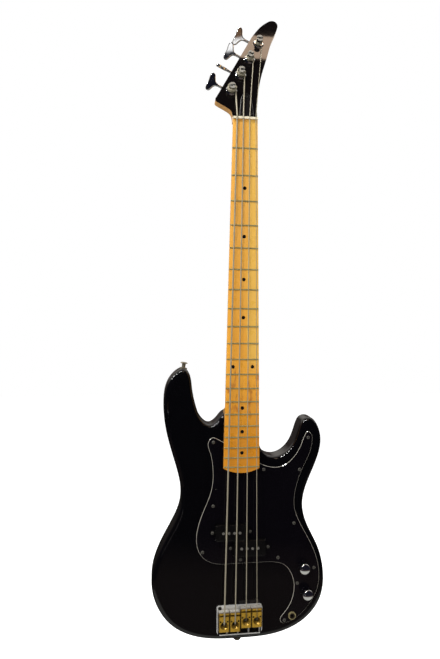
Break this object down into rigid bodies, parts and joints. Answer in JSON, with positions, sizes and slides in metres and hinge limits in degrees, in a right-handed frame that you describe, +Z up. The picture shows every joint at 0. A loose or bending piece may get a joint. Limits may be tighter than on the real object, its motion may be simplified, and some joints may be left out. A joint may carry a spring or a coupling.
{
  "type": "electric bass guitar",
  "caption": "Solid-body electric bass guitar: double-cutaway black body, bolt-on maple neck, open-gear tuners, split pickup under a pickguard, brass bridge saddles and two control knobs.",
  "frame": {"origin": "on the middle line of the neck at the nut, in the plane of the body front", "axes": "+Z up the neck to the headstock, +X towards the thin strings, front at -Y"},
  "size_m": [0.3067, 0.0791, 1.1032],
  "materials": {
    "body_lacquer": "black lacquer over solid wood, high gloss",
    "neck_maple": "tinted maple, gloss lacquer",
    "fretboard_maple": "amber maple, gloss lacquer",
    "fret_nickel": "polished nickel silver",
    "dot_black": "black inlay",
    "nut_cream": "cream, polished",
    "face_black": "gloss black face",
    "rod_steel": "plain steel",
    "cover_black": "black plastic with a white edge",
    "screw_chrome": "chromed steel",
    "tuner_chrome": "chrome plate",
    "gear_brass": "turned brass",
    "bridge_chrome": "chrome plate",
    "saddle_brass": "brushed brass",
    "adjust_steel": "steel",
    "string_nickel": "nickel-wound string",
    "guard_black": "black, white and black layers, polished",
    "pickup_black": "satin black",
    "pole_steel": "ground steel",
    "coil_copper": "enamelled copper wire on a fibre former",
    "pot_steel": "plated steel",
    "knob_chrome": "chromed brass",
    "capacitor_film": "dipped film capacitor",
    "jack_nickel": "nickel plate",
    "wire_cloth": "insulated hook-up wire",
    "plate_chrome": "chrome plate"
  },
  "bodies": {
    "instrument": {"body": "body_lacquer", "neck": "neck_maple", "fretboard": "fretboard_maple", "frets": "fret_nickel", "position_dots": "dot_black", "nut": "nut_cream", "headstock_face": "face_black", "truss_rod": "rod_steel", "truss_rod_cover": "cover_black", "headstock_screws": "screw_chrome", "pickguard_screws": "screw_chrome", "pickup_screws": "screw_chrome", "neck_screws": "screw_chrome", "strap_screws": "screw_chrome", "bridge_screws": "screw_chrome", "tuner_plates": "tuner_chrome", "tuner_bushings": "tuner_chrome", "bridge_plate": "bridge_chrome", "string_e": "string_nickel", "string_a": "string_nickel", "string_d": "string_nickel", "string_g": "string_nickel", "pickguard": "guard_black", "pickup_covers": "pickup_black", "pole_pieces": "pole_steel", "pickup_coils": "coil_copper", "potentiometers": "pot_steel", "tone_capacitor": "capacitor_film", "output_jack": "jack_nickel", "wiring": "wire_cloth", "neck_plate": "plate_chrome", "strap_buttons": "plate_chrome"},
    "key_e": {"tuner_key_e": "tuner_chrome"},
    "post_e": {"tuner_post_e": "tuner_chrome", "tuner_gear_e": "gear_brass"},
    "key_a": {"tuner_key_a": "tuner_chrome"},
    "post_a": {"tuner_post_a": "tuner_chrome", "tuner_gear_a": "gear_brass"},
    "key_d": {"tuner_key_d": "tuner_chrome"},
    "post_d": {"tuner_post_d": "tuner_chrome", "tuner_gear_d": "gear_brass"},
    "key_g": {"tuner_key_g": "tuner_chrome"},
    "post_g": {"tuner_post_g": "tuner_chrome", "tuner_gear_g": "gear_brass"},
    "saddle_e": {"saddle_e": "saddle_brass", "height_screws_e": "adjust_steel"},
    "intonation_e": {"intonation_screw_e": "adjust_steel"},
    "saddle_a": {"saddle_a": "saddle_brass", "height_screws_a": "adjust_steel"},
    "intonation_a": {"intonation_screw_a": "adjust_steel"},
    "saddle_d": {"saddle_d": "saddle_brass", "height_screws_d": "adjust_steel"},
    "intonation_d": {"intonation_screw_d": "adjust_steel"},
    "saddle_g": {"saddle_g": "saddle_brass", "height_screws_g": "adjust_steel"},
    "intonation_g": {"intonation_screw_g": "adjust_steel"},
    "volume_control": {"volume_shaft": "pot_steel", "volume_knob": "knob_chrome"},
    "tone_control": {"tone_shaft": "pot_steel", "tone_knob": "knob_chrome"}
  },
  "joints": [
    {"name": "key_turn_e", "type": "hinge", "parent": "instrument", "child": "key_e", "pos_m": [-0.01741, 0.02739, 0.05765], "axis": [-0.8854, 0.0966, 0.4547], "continuous": true},
    {"name": "post_turn_e", "type": "hinge", "parent": "instrument", "child": "post_e", "pos_m": [-0.0224, 0.00448, 0.0528], "axis": [0, -0.9781, 0.2079], "continuous": true},
    {"name": "key_turn_a", "type": "hinge", "parent": "instrument", "child": "key_a", "pos_m": [-0.00086, 0.03394, 0.08848], "axis": [-0.8854, 0.0966, 0.4547], "continuous": true},
    {"name": "post_turn_a", "type": "hinge", "parent": "instrument", "child": "post_a", "pos_m": [-0.00585, 0.01103, 0.08363], "axis": [0, -0.9781, 0.2079], "continuous": true},
    {"name": "key_turn_d", "type": "hinge", "parent": "instrument", "child": "key_d", "pos_m": [0.01569, 0.0405, 0.11931], "axis": [-0.8854, 0.0966, 0.4547], "continuous": true},
    {"name": "post_turn_d", "type": "hinge", "parent": "instrument", "child": "post_d", "pos_m": [0.0107, 0.01759, 0.11446], "axis": [0, -0.9781, 0.2079], "continuous": true},
    {"name": "key_turn_g", "type": "hinge", "parent": "instrument", "child": "key_g", "pos_m": [0.03224, 0.04705, 0.15014], "axis": [-0.8854, 0.0966, 0.4547], "continuous": true},
    {"name": "post_turn_g", "type": "hinge", "parent": "instrument", "child": "post_g", "pos_m": [0.02724, 0.02414, 0.14529], "axis": [0, -0.9781, 0.2079], "continuous": true},
    {"name": "saddle_slide_e", "type": "slide", "parent": "instrument", "child": "saddle_e", "axis": [0, 0, 1], "range_m": [-0.0015, 0.0015]},
    {"name": "intonation_turn_e", "type": "hinge", "parent": "instrument", "child": "intonation_e", "pos_m": [-0.02258, -0.0066, -0.8845], "axis": [0, 0, 1], "range_deg": [-1080.5, 1080.5]},
    {"name": "saddle_slide_a", "type": "slide", "parent": "instrument", "child": "saddle_a", "axis": [0, 0, 1], "range_m": [-0.0015, 0.0015]},
    {"name": "intonation_turn_a", "type": "hinge", "parent": "instrument", "child": "intonation_a", "pos_m": [-0.00352, -0.0066, -0.8845], "axis": [0, 0, 1], "range_deg": [-1080.5, 1080.5]},
    {"name": "saddle_slide_d", "type": "slide", "parent": "instrument", "child": "saddle_d", "axis": [0, 0, 1], "range_m": [-0.0015, 0.0015]},
    {"name": "intonation_turn_d", "type": "hinge", "parent": "instrument", "child": "intonation_d", "pos_m": [0.01553, -0.0066, -0.8845], "axis": [0, 0, 1], "range_deg": [-1080.5, 1080.5]},
    {"name": "saddle_slide_g", "type": "slide", "parent": "instrument", "child": "saddle_g", "axis": [0, 0, 1], "range_m": [-0.0015, 0.0015]},
    {"name": "intonation_turn_g", "type": "hinge", "parent": "instrument", "child": "intonation_g", "pos_m": [0.03458, -0.0066, -0.8845], "axis": [0, 0, 1], "range_deg": [-1080.5, 1080.5]},
    {"name": "volume_turn", "type": "hinge", "parent": "instrument", "child": "volume_control", "pos_m": [0.11292, 0, -0.77302], "axis": [0, -1, 0], "range_deg": [-150, 150]},
    {"name": "tone_turn", "type": "hinge", "parent": "instrument", "child": "tone_control", "pos_m": [0.1189, 0, -0.81919], "axis": [0, -1, 0], "range_deg": [-150, 150]}
  ],
  "couplings": [
    {"joint": "post_turn_e", "follows": "key_turn_e", "ratio": -0.05},
    {"joint": "post_turn_a", "follows": "key_turn_a", "ratio": -0.05},
    {"joint": "post_turn_d", "follows": "key_turn_d", "ratio": -0.05},
    {"joint": "post_turn_g", "follows": "key_turn_g", "ratio": -0.05},
    {"joint": "intonation_turn_e", "follows": "saddle_slide_e", "rad_per_m": 12566},
    {"joint": "intonation_turn_a", "follows": "saddle_slide_a", "rad_per_m": 12566},
    {"joint": "intonation_turn_d", "follows": "saddle_slide_d", "rad_per_m": 12566},
    {"joint": "intonation_turn_g", "follows": "saddle_slide_g", "rad_per_m": 12566}
  ]
}
